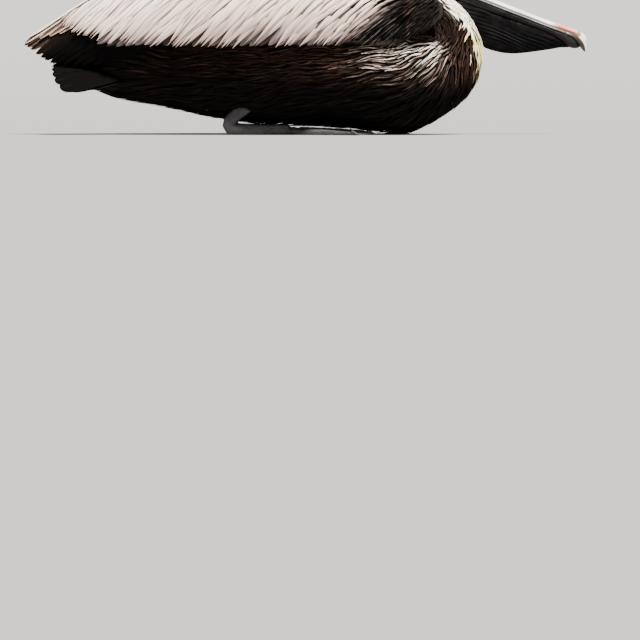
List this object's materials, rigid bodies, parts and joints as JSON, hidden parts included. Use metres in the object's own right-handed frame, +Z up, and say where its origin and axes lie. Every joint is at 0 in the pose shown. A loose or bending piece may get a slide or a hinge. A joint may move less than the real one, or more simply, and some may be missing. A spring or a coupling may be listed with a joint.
{
  "type": "brown pelican",
  "caption": "Life-size brown pelican resting on its breast and feet, neck folded back and long bill laid forward over the foreneck.",
  "frame": {"origin": "middle of the underside of the bird's box, on the floor it rests on", "axes": "+X to the tip of the bill, +Z up, the bird's left side towards +Y"},
  "size_m": [0.7344, 0.2452, 0.2818],
  "materials": {
    "belly_plumage": "dark brown, nearly black belly and flank plumage with pale streaks over the breast",
    "foreneck_plumage": "white to pale yellow foreneck plumage, soft and dense",
    "neck_plumage": "dark chestnut hindneck plumage, hair-like",
    "head_plumage": "short velvety white and pale yellow head plumage",
    "eye": "wet pale iris with a dark pupil",
    "horn": "grey and white horny bill with red and yellow near the tip, satin",
    "pouch_skin": "blackish bare skin of the throat pouch, finely wrinkled",
    "silver_plumage": "silver-grey long pointed wing and back feathers with dark edges",
    "flight_feathers": "dark grey-brown flight and tail feathers",
    "foot_skin": "blackish scaly legs and webbed feet"
  },
  "bodies": {
    "root": {"trunk": "belly_plumage", "neck_lower": "foreneck_plumage", "neck_upper": "neck_plumage", "head": "head_plumage", "eye_left": "eye", "eye_right": "eye", "bill_upper": "horn", "bill_lower": "horn", "pouch": "pouch_skin", "wing_left": "silver_plumage", "wing_right": "silver_plumage", "tail": "flight_feathers", "leg_left": "foot_skin", "leg_right": "foot_skin", "foot_left": "foot_skin", "foot_right": "foot_skin"}
  },
  "joints": []
}
